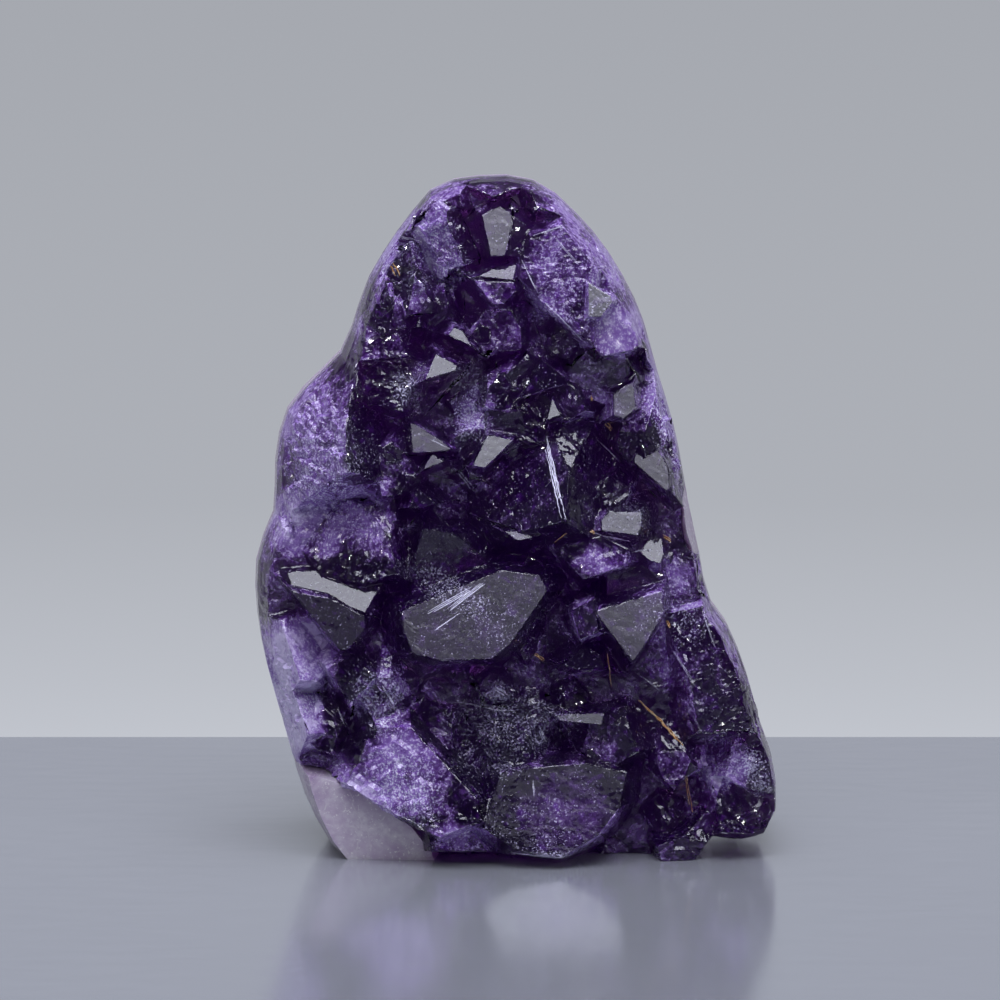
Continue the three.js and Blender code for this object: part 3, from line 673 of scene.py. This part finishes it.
def make_veins(name, crystals, lines, strands, material):
    """All veins of one kind, joined in one mesh. A wide one is several strands side by side."""
    SEED, SPREAD, LONGEST_CUT = 7, 0.45, 0.3
    between = random.Random(SEED).uniform
    ground = BVHTree.FromObject(crystals, bpy.context.evaluated_depsgraph_get())
    veins = []
    for (x, z), (to_x, to_z), width in lines:
        length = math.hypot(to_x - x, to_z - z)
        side = ((to_z - z) / length, -(to_x - x) / length)
        for _ in range(strands):
            shift = between(-SPREAD, SPREAD) * width
            cut = between(0, LONGEST_CUT)
            first = (x + side[0] * shift + (to_x - x) * cut, z + side[1] * shift + (to_z - z) * cut)
            cut = between(0, LONGEST_CUT)
            last = (to_x + side[0] * shift - (to_x - x) * cut, to_z + side[1] * shift - (to_z - z) * cut)
            veins.append(strand(name, ground, first, last, width / strands, between))
    bpy.ops.object.select_all(action="DESELECT")
    for vein in veins:
        vein.select_set(True)
    bpy.context.view_layer.objects.active = veins[0]
    bpy.ops.object.convert(target="MESH")
    bpy.ops.object.join()
    piece = bpy.context.object
    piece.name = name
    piece.data.materials.append(material)
    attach(piece, "root")
    return piece


def make_root():
    piece = merged_copy("quartz_base", "quartz_root")
    close_gap(piece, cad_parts["crystals"])
    roughen_rind(piece)
    piece.data.materials.append(milky_quartz())
    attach(piece, "root")
    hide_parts("quartz_base")


def make_table():
    LEFT, RIGHT, NEAR, FAR, THICK = -0.6, 0.6, -0.4, 0.085, 0.03
    bpy.ops.object.select_all(action="DESELECT")
    bpy.ops.mesh.primitive_cube_add(size=1, location=((LEFT + RIGHT) / 2, (NEAR + FAR) / 2, -THICK / 2))
    table = bpy.context.object
    table.name = "table"
    table.scale = (RIGHT - LEFT, FAR - NEAR, THICK)
    bpy.ops.object.transform_apply(location=True, rotation=True, scale=True)
    table.data.materials.append(table_top())


def make_camera():
    DISTANCE, ELEVATION, LENS = 0.60, math.radians(7), 143.7
    LOOK = Vector((-0.0023, 0.0014, 0.0515))
    camera = bpy.data.objects.new("camera", bpy.data.cameras.new("camera"))
    bpy.context.scene.collection.objects.link(camera)
    camera.data.sensor_width = 36
    camera.data.lens = LENS
    camera.location = LOOK + DISTANCE * Vector((0, -math.cos(ELEVATION), math.sin(ELEVATION)))
    camera.rotation_euler = (math.pi / 2 - ELEVATION, 0, 0)
    bpy.context.scene.camera = camera


def softbox(name, centre, look, width, height, brightness, colour=(1, 1, 1)):
    """A lit panel. Its brightness is in the units of the world's."""
    light = bpy.data.lights.new(name, "AREA")
    light.shape = "RECTANGLE"
    light.size = width
    light.size_y = height
    light.energy = brightness * math.pi * width * height
    light.color = colour
    lamp = bpy.data.objects.new(name, light)
    bpy.context.scene.collection.objects.link(lamp)
    lamp.location = centre
    lamp.rotation_euler = (Vector(look) - Vector(centre)).to_track_quat("-Z", "Y").to_euler()
    return lamp


def fade_towards_front(lamp, stops):
    """The panel gets dimmer towards its front edge, by stops of place and share."""
    light = lamp.data
    light.use_nodes = True
    nodes, links = light.node_tree.nodes, light.node_tree.links
    nodes.clear()
    place = nodes.new("ShaderNodeNewGeometry")
    apart = nodes.new("ShaderNodeSeparateXYZ")
    ramp = nodes.new("ShaderNodeValToRGB")
    emission = nodes.new("ShaderNodeEmission")
    output = nodes.new("ShaderNodeOutputLight")
    elements = ramp.color_ramp.elements
    elements[0].position, elements[1].position = stops[0][0], stops[-1][0]
    elements[0].color = [stops[0][1]] * 3 + [1]
    elements[-1].color = [stops[-1][1]] * 3 + [1]
    for position, share in stops[1:-1]:
        elements.new(position).color = [share] * 3 + [1]
    links.new(place.outputs["Parametric"], apart.inputs[0])
    links.new(apart.outputs["Y"], ramp.inputs[0])
    links.new(ramp.outputs[0], emission.inputs["Color"])
    links.new(emission.outputs[0], output.inputs["Surface"])


def place_lamps():
    """A wide panel overhead, a weak one in front, and two small bright lamps that make the chips glitter."""
    MIDDLE = (0, 0, 0.05)
    COOL = (0.86, 0.88, 1)
    FADE = [(0, 0.09), (0.1, 0.17), (0.3, 0.55), (0.4, 1)]
    GLINT_SIZE, GLINT_BRIGHTNESS = 0.09, 45
    overhead = softbox("overhead", (0, -0.45, 1.05), (0, -0.45, 0), 1.0, 1.6, 7, COOL)
    fade_towards_front(overhead, FADE)
    softbox("front", (0, -1.1, 0.5), MIDDLE, 0.7, 0.3, 0.55, (0.85, 0.88, 1))
    for name, centre in (("left_glint", (-0.75, -0.65, 0.75)), ("right_glint", (0.8, -0.6, 0.62))):
        softbox(name, centre, MIDDLE, GLINT_SIZE, GLINT_SIZE, GLINT_BRIGHTNESS)


def make_studio():
    """A grey room, by height in degrees and brightness, that only the camera sees as bright all round."""
    LOW, HIGH = -11, 40
    WALL = [(-11, 0.56), (-9.5, 0.50), (-7, 0.42), (0, 0.38), (14, 0.38), (26, 0.06), (40, 0.05)]
    GREENER, BLUER = 1.04, 1.14
    DARK_FROM, LIT_FROM, DARKEST = -0.75, -0.1, 0.04
    low, high = math.sin(math.radians(LOW)), math.sin(math.radians(HIGH))
    world = bpy.data.worlds.new("studio")
    bpy.context.scene.world = world
    world.use_nodes = True
    nodes, links = world.node_tree.nodes, world.node_tree.links
    nodes.clear()
    place = nodes.new("ShaderNodeTexCoord")
    apart = nodes.new("ShaderNodeSeparateXYZ")
    ramp = nodes.new("ShaderNodeValToRGB")
    spread = nodes.new("ShaderNodeMapRange")
    background = nodes.new("ShaderNodeBackground")
    output = nodes.new("ShaderNodeOutputWorld")
    spread.inputs["From Min"].default_value = low
    spread.inputs["From Max"].default_value = high
    stops = ramp.color_ramp.elements
    for number, (elevation, brightness) in enumerate(WALL):
        share = (math.sin(math.radians(elevation)) - low) / (high - low)
        stop = stops[number] if number < 2 else stops.new(share)
        stop.position = share
        stop.color = (brightness, GREENER * brightness, BLUER * brightness, 1)
    behind = nodes.new("ShaderNodeMapRange")
    behind.inputs["From Min"].default_value = DARK_FROM
    behind.inputs["From Max"].default_value = LIT_FROM
    behind.inputs["To Min"].default_value = DARKEST
    seen = nodes.new("ShaderNodeLightPath")
    bright = nodes.new("ShaderNodeMath")
    bright.operation = "MAXIMUM"
    links.new(place.outputs["Generated"], apart.inputs[0])
    links.new(apart.outputs["Z"], spread.inputs["Value"])
    links.new(apart.outputs["Y"], behind.inputs["Value"])
    links.new(behind.outputs[0], bright.inputs[0])
    links.new(seen.outputs["Is Camera Ray"], bright.inputs[1])
    links.new(bright.outputs[0], background.inputs["Strength"])
    links.new(spread.outputs[0], ramp.inputs[0])
    links.new(ramp.outputs[0], background.inputs["Color"])
    links.new(background.outputs[0], output.inputs["Surface"])


bpy.context.scene.view_settings.view_transform = "Standard"
bpy.context.scene.cycles.max_bounces = BOUNCES
bpy.context.scene.cycles.transmission_bounces = BOUNCES
make_camera()
place_lamps()
make_studio()
make_table()
crystals = make_crystals()
make_root()
make_veins("white_veins", crystals, STREAKS, WHITE_STRANDS, crushed_quartz())
make_veins("iron_seams", crystals, STAINS, IRON_STRANDS, iron_stain())
